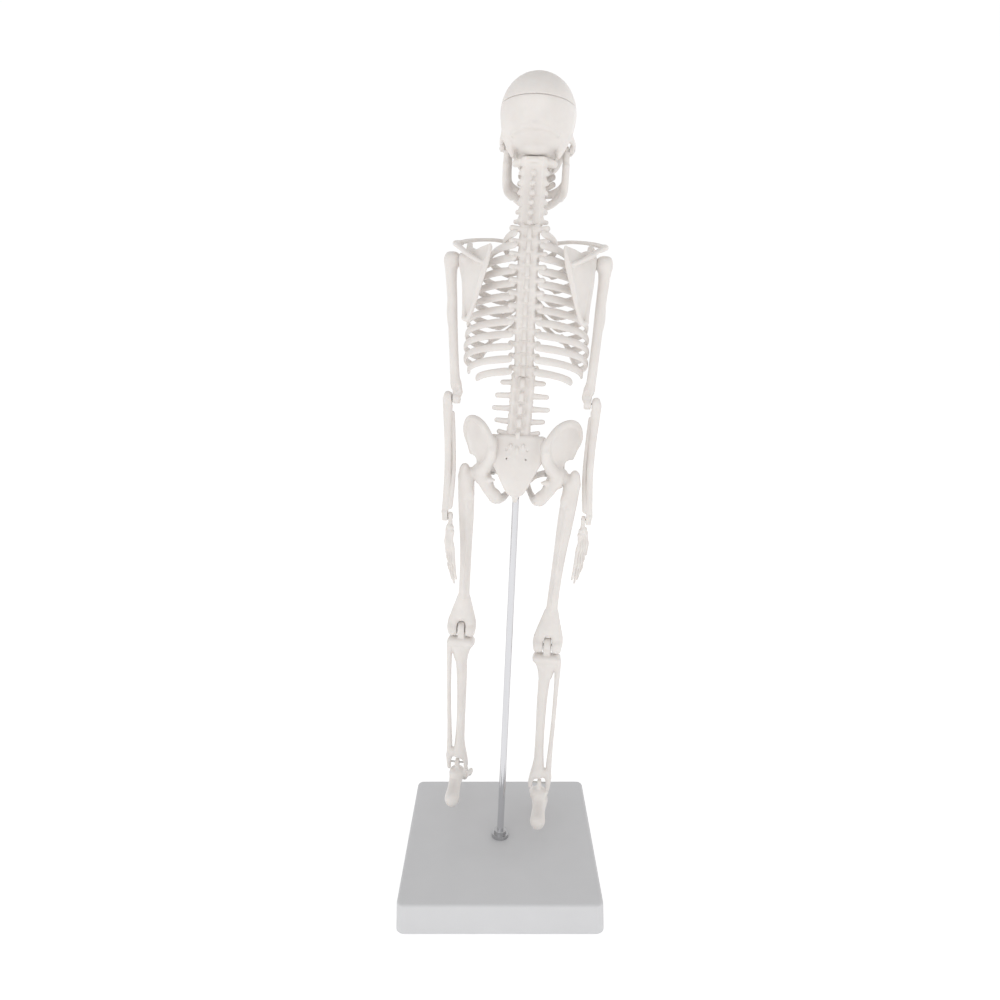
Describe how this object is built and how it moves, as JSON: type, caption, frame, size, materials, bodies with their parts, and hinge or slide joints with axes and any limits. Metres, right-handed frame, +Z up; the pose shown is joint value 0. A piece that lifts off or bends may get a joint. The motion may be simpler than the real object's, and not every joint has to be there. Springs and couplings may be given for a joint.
{
  "type": "human skeleton model",
  "caption": "Small anatomical skeleton model on a rod stand: removable skull cap, moving jaw, turning head and pinned shoulders, elbows, wrists, hips, knees and ankles.",
  "frame": {"origin": "middle of the square base, on the surface that it stands on", "axes": "+Z up; the skeleton faces -Y and its left side is towards +X"},
  "size_m": [0.1156, 0.1156, 0.4486],
  "materials": {
    "bone_plastic": "satin off-white moulding",
    "base_plastic": "fine-grained light grey moulding",
    "rubber_feet": "matt",
    "chrome_rod": "polished",
    "plated_steel": "turned and plated",
    "pin_steel": "drawn wire"
  },
  "bodies": {
    "base": {"base_shell": "base_plastic", "rubber_feet": "rubber_feet", "support_rod": "chrome_rod", "rod_collar": "plated_steel", "base_washer": "plated_steel", "base_nut": "plated_steel"},
    "skull": {"cranium": "bone_plastic", "jaw_pins": "pin_steel"},
    "cap": {"skull_cap": "bone_plastic"},
    "jaw": {"mandible": "bone_plastic"},
    "upper_arm_left": {"humerus_left": "bone_plastic", "elbow_pin_left": "pin_steel"},
    "forearm_left": {"forearm_left": "bone_plastic", "wrist_pin_left": "pin_steel"},
    "hand_left": {"hand_left": "bone_plastic"},
    "thigh_left": {"femur_left": "bone_plastic", "knee_pin_left": "pin_steel"},
    "shin_left": {"tibia_fibula_left": "bone_plastic", "ankle_pin_left": "pin_steel"},
    "foot_left": {"foot_left": "bone_plastic"},
    "upper_arm_right": {"humerus_right": "bone_plastic", "elbow_pin_right": "pin_steel"},
    "forearm_right": {"forearm_right": "bone_plastic", "wrist_pin_right": "pin_steel"},
    "hand_right": {"hand_right": "bone_plastic"},
    "thigh_right": {"femur_right": "bone_plastic", "knee_pin_right": "pin_steel"},
    "shin_right": {"tibia_fibula_right": "bone_plastic", "ankle_pin_right": "pin_steel"},
    "foot_right": {"foot_right": "bone_plastic"},
    "trunk": {"cervical_spine": "bone_plastic", "clavicle_left": "bone_plastic", "clavicle_right": "bone_plastic", "costal_cartilage_left": "bone_plastic", "costal_cartilage_right": "bone_plastic", "false_ribs_left": "bone_plastic", "false_ribs_right": "bone_plastic", "floating_ribs_left": "bone_plastic", "floating_ribs_right": "bone_plastic", "hip_bone_left": "bone_plastic", "hip_bone_right": "bone_plastic", "hip_pins": "pin_steel", "lumbar_spine": "bone_plastic", "neck_pin": "pin_steel", "pubic_symphysis": "bone_plastic", "rod_bush": "plated_steel", "sacrum": "bone_plastic", "scapula_left": "bone_plastic", "scapula_right": "bone_plastic", "shoulder_pins": "pin_steel", "sternum": "bone_plastic", "thoracic_spine": "bone_plastic", "true_ribs_left": "bone_plastic", "true_ribs_right": "bone_plastic"}
  },
  "joints": [
    {"name": "trunk_turn", "type": "hinge", "parent": "base", "child": "trunk", "pos_m": [-0.0082, 0, 0.21833], "axis": [-0.041, 0, 0.9992], "continuous": true},
    {"name": "skull_turn", "type": "hinge", "parent": "trunk", "child": "skull", "pos_m": [-0.01792, 0.0012, 0.40909], "axis": [-0.041, 0, 0.9992], "range_deg": [-70, 70]},
    {"name": "cap_lift", "type": "slide", "parent": "skull", "child": "cap", "axis": [-0.0514, 0.0011, 0.9987], "range_m": [0, 0.04]},
    {"name": "jaw_open", "type": "hinge", "parent": "skull", "child": "jaw", "pos_m": [-0.01895, -0.00575, 0.41506], "axis": [0.9932, -0.1045, 0.0512], "range_deg": [0, 22]},
    {"name": "shoulder_swing_left", "type": "hinge", "parent": "trunk", "child": "upper_arm_left", "pos_m": [0.02465, -0.00507, 0.3613], "axis": [-0.9944, 0.1045, -0.0129], "range_deg": [-50, 95]},
    {"name": "elbow_bend_left", "type": "hinge", "parent": "upper_arm_left", "child": "forearm_left", "pos_m": [0.02586, -0.00236, 0.28936], "axis": [-0.9944, 0.1045, -0.0129], "range_deg": [0, 120]},
    {"name": "wrist_bend_left", "type": "hinge", "parent": "forearm_left", "child": "hand_left", "pos_m": [0.02906, -0.00012, 0.22394], "axis": [-0.9944, 0.1045, -0.0129], "range_deg": [-50, 25]},
    {"name": "hip_swing_left", "type": "hinge", "parent": "trunk", "child": "thigh_left", "pos_m": [0.01098, -0.00516, 0.24784], "axis": [-0.9898, 0.1044, -0.0965], "range_deg": [-6, 90]},
    {"name": "knee_bend_left", "type": "hinge", "parent": "thigh_left", "child": "shin_left", "pos_m": [0.02351, -0.02102, 0.14777], "axis": [0.9928, -0.1126, 0.0413], "range_deg": [0, 85]},
    {"name": "ankle_bend_left", "type": "hinge", "parent": "shin_left", "child": "foot_left", "pos_m": [0.02731, -0.02101, 0.05635], "axis": [-0.9928, 0.1126, -0.0413], "range_deg": [-2, 30]},
    {"name": "shoulder_swing_right", "type": "hinge", "parent": "trunk", "child": "upper_arm_right", "pos_m": [-0.05346, 0.00314, 0.35809], "axis": [-0.9929, 0.1045, -0.0565], "range_deg": [-50, 95]},
    {"name": "elbow_bend_right", "type": "hinge", "parent": "upper_arm_right", "child": "forearm_right", "pos_m": [-0.04958, 0.00115, 0.28623], "axis": [-0.9929, 0.1045, -0.0565], "range_deg": [0, 120]},
    {"name": "wrist_bend_right", "type": "hinge", "parent": "forearm_right", "child": "hand_right", "pos_m": [-0.04838, -0.00271, 0.22082], "axis": [-0.9929, 0.1045, -0.0565], "range_deg": [-50, 25]},
    {"name": "hip_swing_right", "type": "hinge", "parent": "trunk", "child": "thigh_right", "pos_m": [-0.03274, -0.00056, 0.24605], "axis": [-0.9902, 0.1044, -0.093], "range_deg": [-6, 90]},
    {"name": "knee_bend_right", "type": "hinge", "parent": "thigh_right", "child": "shin_right", "pos_m": [-0.028, -0.0042, 0.14413], "axis": [0.9935, -0.1063, 0.0408], "range_deg": [0, 85]},
    {"name": "ankle_bend_right", "type": "hinge", "parent": "shin_right", "child": "foot_right", "pos_m": [-0.02424, -0.00419, 0.05271], "axis": [-0.9935, 0.1063, -0.0408], "range_deg": [-2, 30]}
  ]
}
